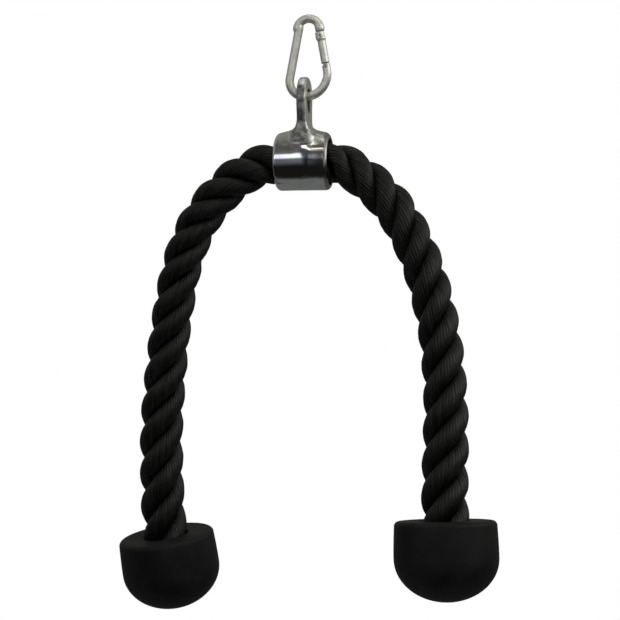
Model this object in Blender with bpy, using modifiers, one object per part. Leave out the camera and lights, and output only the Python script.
"""Triceps rope attachment for a cable machine, hanging from its own snap hook.

A three-strand rope runs through a chromed cast collar. A rubber stop is moulded
over each end of the rope, round a washer and a crimped band that anchor it. The
collar's eye hangs on a sprung snap hook. Everything hangs as it does at rest.

Frame: metres, +Z up, +X to the right, -Y towards the front. The origin is the
inside top of the hook's top bow, where the link of a chain would seat.
"""

import math

import bmesh
import bpy
from mathutils import Matrix, Vector

mm = 0.001

# Clearances shared by neighbouring pieces
seat_gap = 0.3 * mm
joint_gap = 0.5 * mm
cut_overrun = 2.0 * mm
weld_distance = 0.01 * mm

# Snap hook
wire_diameter = 6.0 * mm
hook_length = 60.0 * mm
top_bow_width = 21.2 * mm
bottom_bow_width = 32.8 * mm
rivet_above_bow = 4.6 * mm
heel_height = 2.0 * mm
heel_slope_deg = 26.0
nose_straight = 2.9 * mm
gate_diameter = 5.8 * mm
gate_head_diameter = 6.8 * mm
gate_head_length = 5.2 * mm
gate_head_chamfer = 0.5 * mm
rivet_diameter = 1.8 * mm
rivet_length = 6.3 * mm
pin_end_radius = 0.3 * mm
tongue_thickness = 2.0 * mm
tongue_radius = 1.9 * mm
cam_radius = 2.7 * mm
cam_angle_deg = 225.0
spring_slot_depth = 7.6 * mm

# Latch between the gate's head and the hook's nose
latch_pin_diameter = 1.8 * mm
latch_pin_drop = 3.3 * mm
latch_pin_length = 6.6 * mm
latch_tongue_thickness = 1.6 * mm
latch_tongue_outer = 2.5 * mm
latch_lip_height = 1.3 * mm
latch_lip_reach = 1.0 * mm
latch_root_depth = 1.5 * mm

# Closing spring and its plunger, in the slot under the gate
plunger_diameter = 2.0 * mm
plunger_length = 1.8 * mm
plunger_offset = 0.8 * mm
plunger_end_radius = 0.3 * mm
spring_wire_diameter = 0.36 * mm
spring_outer_diameter = 2.0 * mm
spring_turns = 3.0
points_per_turn = 10

# Collar: a barrel round the rope and a flat eye above it
collar_offset_x = -3.4 * mm
barrel_length = 38.0 * mm
barrel_diameter = 38.6 * mm
barrel_rim_radius = 3.0 * mm
bore_rim_chamfer = 0.8 * mm
eye_drop = 44.0 * mm
eye_hole_diameter = 15.5 * mm
eye_wall = 8.0 * mm
plate_thickness = 5.8 * mm
plate_edge_radius = 1.4 * mm
neck_root_height = 8.0 * mm
neck_flare_reach = 11.0 * mm
neck_flare_height = 7.5 * mm

# Rope
rope_diameter = 32.0 * mm
shoulder_distance = 60.0 * mm
elbow_distance = 185.0 * mm
shoulder_relief = 8.0 * mm
elbow_relief = 6.0 * mm
knuckle_clearance = 0.6 * mm
route_step = 12.0 * mm
straight_past_collar = 1.5 * mm

# Route points of each leg, from beside the collar down to the top of its stop
left_route = [
    (-45.0 * mm, 1.1 * mm, -104.0 * mm),
    (-61.6 * mm, 2.5 * mm, -116.2 * mm),
    (-74.9 * mm, 4.1 * mm, -131.0 * mm),
    (-85.0 * mm, 5.7 * mm, -148.1 * mm),
    (-92.3 * mm, 7.5 * mm, -166.7 * mm),
    (-101.0 * mm, 11.2 * mm, -205.5 * mm),
    (-106.8 * mm, 15.1 * mm, -244.9 * mm),
    (-110.8 * mm, 19.1 * mm, -284.4 * mm),
    (-111.6 * mm, 23.1 * mm, -324.2 * mm),
    (-109.8 * mm, 27.0 * mm, -363.5 * mm),
]
right_route = [
    (33.6 * mm, -1.1 * mm, -105.0 * mm),
    (49.2 * mm, -2.5 * mm, -117.6 * mm),
    (62.2 * mm, -4.1 * mm, -132.9 * mm),
    (72.2 * mm, -5.9 * mm, -150.1 * mm),
    (79.9 * mm, -7.7 * mm, -168.4 * mm),
    (90.6 * mm, -11.6 * mm, -206.7 * mm),
    (95.9 * mm, -15.8 * mm, -246.1 * mm),
    (97.2 * mm, -20.3 * mm, -285.8 * mm),
    (96.8 * mm, -23.6 * mm, -316.0 * mm),
    (97.4 * mm, -26.6 * mm, -341.4 * mm),
]
# Direction of each leg where it enters its stop
left_stop_direction = Vector((0.125, 0.113, -0.986)).normalized()
right_stop_direction = Vector((0.031, -0.087, -0.996)).normalized()

# Rubber stops and the anchors inside them
stop_top_radius = 34.6 * mm
stop_belly_radius = 35.3 * mm
stop_belly_depth = 25.0 * mm
stop_height = 54.0 * mm
stop_edge_radius = 3.0 * mm
stop_mouth_chamfer = 0.8 * mm
anchor_depth = 26.0 * mm
washer_thickness = 2.5 * mm
washer_flange = 6.0 * mm
band_wall = 2.0 * mm
band_length = 14.0 * mm
band_end_radius = 0.5 * mm
tail_past_band = 2.0 * mm

# Facets
wire_sides_setting = 4
rope_sides_setting = 4
turned_steps = 40
pin_steps = 16
arc_steps = 10

# Sizes worked out from those above
wire_radius = wire_diameter / 2
rope_radius = rope_diameter / 2
bore_radius = rope_radius + seat_gap
top_bow_radius = top_bow_width / 2 - wire_radius
bottom_bow_radius = bottom_bow_width / 2 - wire_radius
top_bow_z = wire_radius - top_bow_radius
bottom_bow_z = wire_diameter - hook_length + wire_radius + bottom_bow_radius
bow_distance = top_bow_z - bottom_bow_z
leg_splay = math.asin((bottom_bow_radius - top_bow_radius) / bow_distance)
leg_straight = bow_distance * math.cos(leg_splay)
gate_length = leg_straight - rivet_above_bow - nose_straight - joint_gap
leg_up = Vector((-math.sin(leg_splay), 0, math.cos(leg_splay)))
leg_out = Vector((math.cos(leg_splay), 0, math.sin(leg_splay)))
bow_end = Vector((0, 0, bottom_bow_z)) + leg_out * bottom_bow_radius
rivet_place = bow_end + leg_up * rivet_above_bow
latch_pin_height = gate_length - latch_pin_drop
gate_foot = heel_height + joint_gap

plate_inner_x = abs(collar_offset_x) + plate_thickness / 2
bow_chord = math.sqrt(bottom_bow_radius ** 2 - plate_inner_x ** 2)
wire_top_in_eye = bottom_bow_z - bow_chord + wire_radius * bottom_bow_radius / bow_chord
eye_hole_radius = eye_hole_diameter / 2
eye_z = wire_top_in_eye + seat_gap - eye_hole_radius
eye_radius = eye_hole_radius + eye_wall
barrel_radius = barrel_diameter / 2
barrel_centre = Vector((collar_offset_x, 0, eye_z - eye_drop))

parts = bpy.data.collections.new("triceps_rope")
cutters = bpy.data.collections.new("cutters")


def clear_scene():
    """Remove what the scene holds and link the two collections."""
    for old in list(bpy.data.objects):
        bpy.data.objects.remove(old, do_unlink=True)
    bpy.context.scene.collection.children.link(parts)
    bpy.context.scene.collection.children.link(cutters)


def finish(name, colour, roughness, metallic):
    """Make one Principled material."""
    material = bpy.data.materials.new(name)
    material.use_nodes = True
    shader = material.node_tree.nodes["Principled BSDF"]
    shader.inputs["Base Color"].default_value = (*colour, 1)
    shader.inputs["Roughness"].default_value = roughness
    shader.inputs["Metallic"].default_value = metallic
    return material


def add_object(name, data, placement=None, material=None, cutter=False):
    """Link an object for a mesh or curve at a placement matrix."""
    made = bpy.data.objects.new(name, data)
    (cutters if cutter else parts).objects.link(made)
    if placement is not None:
        made.matrix_world = placement
    if material is not None:
        data.materials.append(material)
    if cutter:
        made.hide_render = True
        made.display_type = "WIRE"
    return made


def smooth_shade(made, angle_deg=35.0):
    """Shade a round piece smooth, with its real edges sharp."""
    made.data.shade_smooth()
    made.data.set_sharp_from_angle(angle=math.radians(angle_deg))


def cut(target, tool, operation="DIFFERENCE"):
    """Add one exact Boolean of a tool to a target."""
    step = target.modifiers.new(operation.lower() + "_" + tool.name, "BOOLEAN")
    step.operation = operation
    step.object = tool
    return step


def as_mesh(curve_object):
    """Turn a curve object into a closed mesh object of the same name and place."""
    bpy.context.view_layer.update()
    graph = bpy.context.evaluated_depsgraph_get()
    mesh = bpy.data.meshes.new_from_object(curve_object.evaluated_get(graph))
    welded = bmesh.new()
    welded.from_mesh(mesh)
    bmesh.ops.remove_doubles(welded, verts=welded.verts, dist=weld_distance)
    bmesh.ops.recalc_face_normals(welded, faces=welded.faces)
    welded.to_mesh(mesh)
    welded.free()
    name = curve_object.name
    placement = curve_object.matrix_world.copy()
    home = curve_object.users_collection[0]
    hidden = curve_object.hide_render
    bpy.data.objects.remove(curve_object, do_unlink=True)
    made = bpy.data.objects.new(name, mesh)
    home.objects.link(made)
    made.matrix_world = placement
    if hidden:
        made.hide_render = True
        made.display_type = "WIRE"
    return made


def wire(name, points, radius, sides_setting, material=None, scales=None, placement=None):
    """Make a tube along points as a bevelled curve, with an optional scale at each point."""
    curve = bpy.data.curves.new(name, "CURVE")
    curve.dimensions = "3D"
    curve.bevel_depth = radius
    curve.bevel_resolution = sides_setting
    curve.use_fill_caps = True
    spline = curve.splines.new("POLY")
    spline.points.add(len(points) - 1)
    for index, point in enumerate(points):
        spline.points[index].co = (*point, 1)
        spline.points[index].radius = 1 if scales is None else scales[index]
    return as_mesh(add_object(name, curve, placement, material))


def plate(name, outline, thickness, placement, material=None, cutter=False):
    """Make a flat plate from a closed outline in its placement's XY plane."""
    curve = bpy.data.curves.new(name, "CURVE")
    curve.dimensions = "2D"
    curve.fill_mode = "BOTH"
    curve.extrude = thickness / 2
    spline = curve.splines.new("POLY")
    spline.points.add(len(outline) - 1)
    for index, (across, along) in enumerate(outline):
        spline.points[index].co = (across, along, 0, 1)
    spline.use_cyclic_u = True
    return as_mesh(add_object(name, curve, placement, material, cutter))


def turned(name, profile, closed, placement, material=None, steps=turned_steps, cutter=False):
    """Turn a profile of (radius, height) points about its placement's Z axis."""
    mesh = bpy.data.meshes.new(name)
    count = len(profile)
    edges = [(index, index + 1) for index in range(count - 1)]
    if closed:
        edges.append((count - 1, 0))
    mesh.from_pydata([(radius, 0, height) for radius, height in profile], edges, [])
    made = add_object(name, mesh, placement, material, cutter)
    turn = made.modifiers.new("turn", "SCREW")
    turn.steps = steps
    turn.render_steps = steps
    turn.use_merge_vertices = True
    turn.merge_threshold = weld_distance
    turn.use_smooth_shade = True
    return made


def ring_profile(inner, outer, top, bottom, edge=0.0):
    """Give a ring's closed section, its outer corners cut by a small edge."""
    if edge == 0.0:
        return [(inner, bottom), (inner, top), (outer, top), (outer, bottom)]
    return [
        (inner, bottom),
        (inner, top),
        (outer - edge, top),
        (outer, top - edge),
        (outer, bottom + edge),
        (outer - edge, bottom),
    ]


def rod_profile(radius, top, bottom, edge):
    """Give a solid rod's section from axis to axis, with small bevelled ends."""
    return [
        (0, top),
        (radius - edge, top),
        (radius, top - edge),
        (radius, bottom + edge),
        (radius - edge, bottom),
        (0, bottom),
    ]


def block(name, low, high, placement):
    """Make a box cutter between two corners of its placement's frame."""
    mesh = bpy.data.meshes.new(name)
    box = bmesh.new()
    bmesh.ops.create_cube(box, size=1)
    for vertex in box.verts:
        shares = vertex.co + Vector((0.5, 0.5, 0.5))
        vertex.co = [low[axis] + shares[axis] * (high[axis] - low[axis]) for axis in range(3)]
    box.to_mesh(mesh)
    box.free()
    return add_object(name, mesh, placement, cutter=True)


def arc(centre, radius, start, end, steps=arc_steps):
    """Give points on an arc in a plane, both ends included."""
    turns = [start + (end - start) * index / steps for index in range(steps + 1)]
    return [(centre[0] + radius * math.cos(a), centre[1] + radius * math.sin(a)) for a in turns]


def leg_frame():
    """Give the frame of the hook's gate side: origin at the rivet, Z up the leg."""
    return Matrix.Translation(rivet_place) @ Matrix.Rotation(-leg_splay, 4, "Y")


def across_frame(place=Vector((0, 0, 0))):
    """Give a frame whose Z axis runs along world +Y and whose Y axis is world +Z."""
    return Matrix.Translation(place) @ Matrix.Rotation(math.radians(90), 4, "X")


def hook_path():
    """Give the hook's wire centreline, from its nose round both bows to its heel."""
    half_turn = math.pi
    nose = rivet_place + leg_up * (gate_length + joint_gap)
    heel = rivet_place + leg_up * heel_height
    top = arc((0, top_bow_z), top_bow_radius, leg_splay, half_turn - leg_splay, 14)
    bottom = arc((0, bottom_bow_z), bottom_bow_radius,
                 half_turn - leg_splay, 2 * half_turn + leg_splay, 20)
    middle = [Vector((across, 0, height)) for across, height in top + bottom]
    return [nose, *middle, heel]


def latch_outline():
    """Give the nose's latch tongue: a stem beside the gate's pin and a lip under it."""
    pin_radius = latch_pin_diameter / 2
    stem_inner = pin_radius + seat_gap
    lip_top = latch_pin_height - stem_inner
    lip_bottom = lip_top - latch_lip_height
    root = gate_length + joint_gap + latch_root_depth
    return [
        (stem_inner, root),
        (stem_inner, lip_top),
        (-latch_lip_reach, lip_top),
        (-latch_lip_reach, lip_bottom),
        (latch_tongue_outer, lip_bottom),
        (latch_tongue_outer, root),
    ]


def build_hook_body(material):
    """Build the bent wire with its latch tongue, its slotted heel and the rivet hole."""
    body = wire("hook_body", hook_path(), wire_radius, wire_sides_setting, material)
    frame = leg_frame()
    half_slot = tongue_thickness / 2 + seat_gap
    reach = wire_diameter + cut_overrun
    tongue_frame = frame @ across_frame()
    latch = plate("latch_tongue", latch_outline(), latch_tongue_thickness, tongue_frame, cutter=True)
    cut(body, latch, "UNION")
    slope = frame @ Matrix.Translation((0, 0, heel_height))
    slope = slope @ Matrix.Rotation(math.radians(-heel_slope_deg), 4, "Y")
    cut(body, block("heel_slope", (-reach, -reach, 0), (0, reach, reach), slope))
    slot_low = (-reach, -half_slot, -spring_slot_depth)
    slot_high = (tongue_radius + seat_gap, half_slot, heel_height + cut_overrun)
    cut(body, block("heel_slot", slot_low, slot_high, frame))
    hole = rod_profile(rivet_diameter / 2 + seat_gap, reach, -reach, 0)
    cut(body, turned("rivet_hole", hole, False, frame @ across_frame(), steps=pin_steps, cutter=True))
    smooth_shade(body)
    return body


def tongue_outline():
    """Give the gate's hinge tongue: round about the rivet, with a cam for the plunger."""
    cam_turn = math.radians(cam_angle_deg)
    cam = (cam_radius * math.cos(cam_turn), cam_radius * math.sin(cam_turn))
    root = gate_foot + latch_root_depth
    before = arc((0, 0), tongue_radius, math.radians(180), math.radians(205), 2)
    after = arc((0, 0), tongue_radius, math.radians(250), math.radians(360), 8)
    return [(-tongue_radius, root), *before, cam, *after, (tongue_radius, root)]


def build_gate(material):
    """Build the gate: a round bar with a slotted head and a hinge tongue."""
    frame = leg_frame()
    bar_radius = gate_diameter / 2
    head_radius = gate_head_diameter / 2
    head_base = gate_length - gate_head_length
    chamfer = gate_head_chamfer
    profile = [
        (0, gate_length),
        (head_radius - chamfer, gate_length),
        (head_radius, gate_length - chamfer),
        (head_radius, head_base + chamfer),
        (bar_radius, head_base),
        (bar_radius, gate_foot),
        (0, gate_foot),
    ]
    gate = turned("hook_gate", profile, False, frame, material, steps=20)
    tongue = plate("gate_tongue", tongue_outline(), tongue_thickness, frame @ across_frame(), cutter=True)
    cut(gate, tongue, "UNION")
    half_slot = latch_tongue_thickness / 2 + seat_gap
    pin_reach = latch_pin_diameter / 2 + seat_gap + latch_lip_height
    slot_floor = latch_pin_height - pin_reach - joint_gap
    reach = gate_head_diameter + cut_overrun
    slot = block("latch_slot", (-reach, -half_slot, slot_floor),
                 (reach, half_slot, gate_length + cut_overrun), frame)
    cut(gate, slot)
    for name, radius, height in (
        ("gate_rivet_hole", rivet_diameter / 2 + seat_gap, 0),
        ("gate_pin_hole", latch_pin_diameter / 2 + seat_gap, latch_pin_height),
    ):
        place = frame @ Matrix.Translation((0, 0, height)) @ across_frame()
        hole = rod_profile(radius, reach, -reach, 0)
        cut(gate, turned(name, hole, False, place, steps=pin_steps, cutter=True))
    return gate


def build_cross_pin(name, height, diameter, length, material):
    """Build one pin across the hook's gate side, with rounded ends."""
    place = leg_frame() @ Matrix.Translation((0, 0, height)) @ across_frame()
    profile = rod_profile(diameter / 2, length / 2, -length / 2, pin_end_radius)
    return turned(name, profile, False, place, material, steps=pin_steps)


def build_plunger(material):
    """Build the plunger that bears on the gate's cam, and give the height of its top."""
    cam_reach = cam_radius * math.sin(math.radians(cam_angle_deg - 180))
    top = -max(tongue_radius, cam_reach) - seat_gap
    place = leg_frame() @ Matrix.Translation((-plunger_offset, 0, top))
    profile = rod_profile(plunger_diameter / 2, 0, -plunger_length, plunger_end_radius)
    turned("gate_plunger", profile, False, place, material, steps=pin_steps)
    return top


def build_spring(plunger_top, material):
    """Build the closing spring between the plunger and the floor of its slot."""
    coil_radius = (spring_outer_diameter - spring_wire_diameter) / 2
    top = plunger_top - plunger_length - joint_gap - spring_wire_diameter / 2
    bottom = -spring_slot_depth + seat_gap + spring_wire_diameter / 2
    count = int(spring_turns * points_per_turn)
    pitch = (top - bottom) / spring_turns
    print("least gap between the spring's turns, mm:", round((pitch - spring_wire_diameter) / mm, 2))
    points = []
    for index in range(count + 1):
        turn = 2 * math.pi * index / points_per_turn
        height = bottom + (top - bottom) * index / count
        points.append((coil_radius * math.cos(turn), coil_radius * math.sin(turn), height))
    place = leg_frame() @ Matrix.Translation((-plunger_offset, 0, 0))
    return wire("gate_spring", points, spring_wire_diameter / 2, 1, material, placement=place)


def eye_side_outline():
    """Give the eye seen from the side: a round top and straight sides down into the barrel."""
    crown = arc((0, 0), eye_radius, 0, math.pi, 20)
    foot = neck_root_height - eye_drop
    return [(eye_radius, foot), *crown, (-eye_radius, foot)]


def neck_saddle_profile():
    """Give the fillet between plate and barrel, as a section about the barrel's axis."""
    half = plate_thickness / 2
    rise = []
    for index in range(arc_steps + 1):
        turn = math.pi / 2 * index / arc_steps
        across = half + neck_flare_reach * (1 - math.sin(turn))
        rise.append((barrel_radius + neck_flare_height * (1 - math.cos(turn)), across))
    far_side = [(radius, -across) for radius, across in reversed(rise)]
    end = half + neck_flare_reach
    return [(0, end), *rise, *far_side, (0, -end)]


def barrel_profile():
    """Give the barrel's solid section with rounded rims."""
    half = barrel_length / 2
    rim = barrel_rim_radius
    centre = (barrel_radius - rim, half - rim)
    upper = [(radius, height) for radius, height in reversed(arc(centre, rim, 0, math.pi / 2, 5))]
    lower = [(radius, -height) for radius, height in reversed(upper)]
    return [(0, half), *upper, *lower, (0, -half)]


def build_collar(material):
    """Build the one-piece cast collar: barrel, flared neck and eye."""
    eye_place = Vector((collar_offset_x, 0, eye_z))
    on_side = Matrix.Rotation(math.radians(90), 4, "Z") @ Matrix.Rotation(math.radians(90), 4, "X")
    side_place = Matrix.Translation(eye_place) @ on_side
    collar = plate("collar_eye", eye_side_outline(), plate_thickness, side_place, material)
    rounded = collar.modifiers.new("rounded_edges", "BEVEL")
    rounded.width = plate_edge_radius
    rounded.segments = 2
    rounded.limit_method = "ANGLE"
    rounded.angle_limit = math.radians(50)
    along_x = Matrix.Rotation(math.radians(90), 4, "Y")
    barrel_place = Matrix.Translation(barrel_centre) @ along_x
    saddle = turned("neck_saddle", neck_saddle_profile(), False, barrel_place, cutter=True)
    side = plate("neck_side_form", eye_side_outline(), barrel_length, side_place, cutter=True)
    cut(saddle, side, "INTERSECT")
    cut(collar, saddle, "UNION")
    barrel = turned("barrel_form", barrel_profile(), False, barrel_place, cutter=True)
    cut(collar, barrel, "UNION")
    half = barrel_length / 2
    flared = bore_radius + bore_rim_chamfer + cut_overrun
    bore = [
        (0, half + cut_overrun),
        (flared, half + cut_overrun),
        (bore_radius, half - bore_rim_chamfer),
        (bore_radius, bore_rim_chamfer - half),
        (flared, -half - cut_overrun),
        (0, -half - cut_overrun),
    ]
    cut(collar, turned("barrel_bore", bore, False, barrel_place, cutter=True))
    hole_place = Matrix.Translation(eye_place) @ along_x
    hole = rod_profile(eye_hole_radius, barrel_length, -barrel_length, 0)
    cut(collar, turned("eye_hole", hole, False, hole_place, steps=28, cutter=True))
    smooth_shade(collar)
    return collar


def smooth_route(points, start_direction, end_direction):
    """Give evenly spaced points on a smooth curve through a route's points.

    The curve leaves the first point and reaches the last along given directions.
    """
    places = [Vector(point) for point in points]
    last = len(places) - 1
    tangents = []
    for index in range(last + 1):
        if index == 0:
            tangents.append(start_direction * (places[1] - places[0]).length)
        elif index == last:
            tangents.append(end_direction * (places[last] - places[last - 1]).length)
        else:
            before = places[index] - places[index - 1]
            after = places[index + 1] - places[index]
            direction = before / before.length ** 2 + after / after.length ** 2
            tangents.append(direction.normalized() * (before.length + after.length) / 2)
    fine = []
    pieces = 16
    for index in range(last):
        for piece in range(pieces):
            t = piece / pieces
            fine.append(
                (2 * t ** 3 - 3 * t ** 2 + 1) * places[index]
                + (t ** 3 - 2 * t ** 2 + t) * tangents[index]
                + (3 * t ** 2 - 2 * t ** 3) * places[index + 1]
                + (t ** 3 - t ** 2) * tangents[index + 1]
            )
    fine.append(places[last])
    return fine


def leg_line(route, side, end_direction):
    """Give one leg's whole centreline, from the collar's middle to the rope's end.

    side is -1 for the left leg and 1 for the right one.
    """
    outwards = Vector((side, 0, 0))
    mouth = barrel_centre + outwards * (barrel_length / 2 + straight_past_collar)
    curve = smooth_route([mouth, *route], outwards, end_direction)
    tail = curve[-1] + end_direction * tail_depth()
    return [barrel_centre, *curve, tail]


def tail_depth():
    """Give how far the rope runs inside its stop."""
    return anchor_depth + 2 * seat_gap + washer_thickness + band_length + tail_past_band


def place_at(line, distance):
    """Give the point and the direction at a distance along a centreline."""
    left = distance
    for start, end in zip(line, line[1:]):
        run = end - start
        if left <= run.length:
            return start + run.normalized() * left, run.normalized()
        left -= run.length
    return line[-1], (line[-1] - line[-2]).normalized()


def line_length(line):
    """Give a centreline's length."""
    return sum((end - start).length for start, end in zip(line, line[1:]))


def stretch(line, start, end):
    """Give evenly spaced points between two distances along a centreline."""
    count = max(2, round((end - start) / route_step))
    return [place_at(line, start + (end - start) * index / count)[0] for index in range(count + 1)]


def dome(line, distance):
    """Give the points and scales of a round knuckle past a distance along a centreline."""
    centre, direction = place_at(line, distance)
    points = []
    scales = []
    for angle_deg in (20, 38, 54, 68, 79):
        angle = math.radians(angle_deg)
        points.append(centre + direction * rope_radius * math.sin(angle))
        scales.append(math.cos(angle))
    return points, scales


def cup_cutter(name, line, distance):
    """Make the ball that hollows the next stretch of rope round a knuckle."""
    centre, direction = place_at(line, distance)
    turn = direction.to_track_quat("Z", "Y").to_matrix().to_4x4()
    mesh = bpy.data.meshes.new(name)
    ball = bmesh.new()
    bmesh.ops.create_uvsphere(ball, u_segments=24, v_segments=14, radius=rope_radius + knuckle_clearance)
    ball.to_mesh(mesh)
    ball.free()
    return add_object(name, mesh, Matrix.Translation(centre) @ turn, cutter=True)


def build_crown(left_line, right_line, material):
    """Build the rope through the collar, out to a knuckle at each shoulder."""
    left_dome, left_scales = dome(left_line, shoulder_distance)
    right_dome, right_scales = dome(right_line, shoulder_distance)
    left = stretch(left_line, 0, shoulder_distance)
    right = stretch(right_line, 0, shoulder_distance)
    bore_half = barrel_length / 2
    left = [p for p in left[1:] if (p - left[0]).length > bore_half]
    right = [p for p in right[1:] if (p - right[0]).length > bore_half]
    mouths = [barrel_centre + Vector((side * bore_half, 0, 0)) for side in (-1, 1)]
    points = [*reversed(left_dome), *reversed(left), *mouths, *right, *right_dome]
    middle = [1] * (len(left) + len(mouths) + len(right))
    scales = [*reversed(left_scales), *middle, *right_scales]
    crown = wire("rope_crown", points, rope_radius, rope_sides_setting, material, scales)
    smooth_shade(crown, 50.0)
    return crown


def build_upper(side_name, line, material):
    """Build a leg's upper stretch, cupped at the shoulder and domed at the elbow."""
    points = stretch(line, shoulder_distance + shoulder_relief, elbow_distance)
    dome_points, dome_scales = dome(line, elbow_distance)
    scales = [1] * len(points) + dome_scales
    name = side_name + "_rope_upper"
    upper = wire(name, points + dome_points, rope_radius, rope_sides_setting, material, scales)
    cut(upper, cup_cutter(side_name + "_shoulder_cup", line, shoulder_distance))
    smooth_shade(upper, 50.0)
    return upper


def build_lower(side_name, line, material):
    """Build a leg's lower stretch, cupped at the elbow and straight inside its stop."""
    top_of_stop = line_length(line) - tail_depth()
    points = stretch(line, elbow_distance + elbow_relief, top_of_stop)
    points.append(line[-1])
    lower = wire(side_name + "_rope_lower", points, rope_radius, rope_sides_setting, material)
    cut(lower, cup_cutter(side_name + "_elbow_cup", line, elbow_distance))
    smooth_shade(lower, 50.0)
    return lower


def stop_profile():
    """Give the stop's section: anchor pocket, bore, flat top, sides and domed bottom."""
    washer_top = -anchor_depth - seat_gap
    washer_floor = washer_top - washer_thickness - seat_gap
    pocket_radius = bore_radius + washer_flange + seat_gap
    band_radius = bore_radius + band_wall + seat_gap
    pocket_floor = -tail_depth() - seat_gap
    edge_centre = (stop_top_radius - stop_edge_radius, -stop_edge_radius)
    edge = list(reversed(arc(edge_centre, stop_edge_radius, 0, math.pi / 2, 5)))
    side = []
    for index in range(1, 5):
        share = index / 4
        bulge = math.sin(share * math.pi / 2)
        radius = stop_top_radius + (stop_belly_radius - stop_top_radius) * bulge
        side.append((radius, -stop_edge_radius - share * (stop_belly_depth - stop_edge_radius)))
    bottom = []
    dome_height = stop_height - stop_belly_depth
    for index in range(1, arc_steps + 3):
        turn = math.pi / 2 * index / (arc_steps + 3)
        bottom.append((stop_belly_radius * math.cos(turn), -stop_belly_depth - dome_height * math.sin(turn)))
    return [
        (0, pocket_floor),
        (band_radius, pocket_floor),
        (band_radius, washer_floor),
        (pocket_radius, washer_floor),
        (pocket_radius, -anchor_depth),
        (bore_radius, -anchor_depth),
        (bore_radius, -stop_mouth_chamfer),
        (bore_radius + stop_mouth_chamfer, 0),
        *edge,
        *side,
        *bottom,
        (0, -stop_height),
    ]


def build_stop(side_name, line, rubber, steel):
    """Build one stop with the washer and crimped band moulded inside it."""
    top, direction = place_at(line, line_length(line) - tail_depth())
    place = Matrix.Translation(top) @ (-direction).to_track_quat("Z", "Y").to_matrix().to_4x4()
    turned(side_name + "_stop", stop_profile(), False, place, rubber)
    washer_top = -anchor_depth - seat_gap
    washer_bottom = washer_top - washer_thickness
    washer = ring_profile(bore_radius, bore_radius + washer_flange, washer_top, washer_bottom)
    turned(side_name + "_washer", washer, True, place, steel, steps=32)
    band_top = washer_bottom - seat_gap
    band_bottom = band_top - band_length
    band = ring_profile(bore_radius, bore_radius + band_wall, band_top, band_bottom, band_end_radius)
    turned(side_name + "_crimp_band", band, True, place, steel, steps=32)


def build_part():
    """Build every piece of the attachment."""
    clear_scene()
    rope = finish("black_rope", (0.012, 0.012, 0.011), 0.75, 0.0)
    rubber = finish("black_rubber", (0.014, 0.014, 0.014), 0.55, 0.0)
    chrome = finish("chrome", (0.72, 0.73, 0.74), 0.12, 1.0)
    zinc = finish("zinc_plated_steel", (0.55, 0.55, 0.54), 0.32, 1.0)
    steel = finish("plain_steel", (0.42, 0.42, 0.43), 0.4, 1.0)

    build_hook_body(zinc)
    build_gate(zinc)
    build_cross_pin("gate_rivet", 0, rivet_diameter, rivet_length, steel)
    build_cross_pin("gate_latch_pin", latch_pin_height, latch_pin_diameter, latch_pin_length, steel)
    plunger_top = build_plunger(steel)
    build_spring(plunger_top, steel)
    build_collar(chrome)

    left_line = leg_line(left_route, -1, left_stop_direction)
    right_line = leg_line(right_route, 1, right_stop_direction)
    build_crown(left_line, right_line, rope)
    for side_name, line in (("left", left_line), ("right", right_line)):
        build_upper(side_name, line, rope)
        build_lower(side_name, line, rope)
        build_stop(side_name, line, rubber, steel)


build_part()
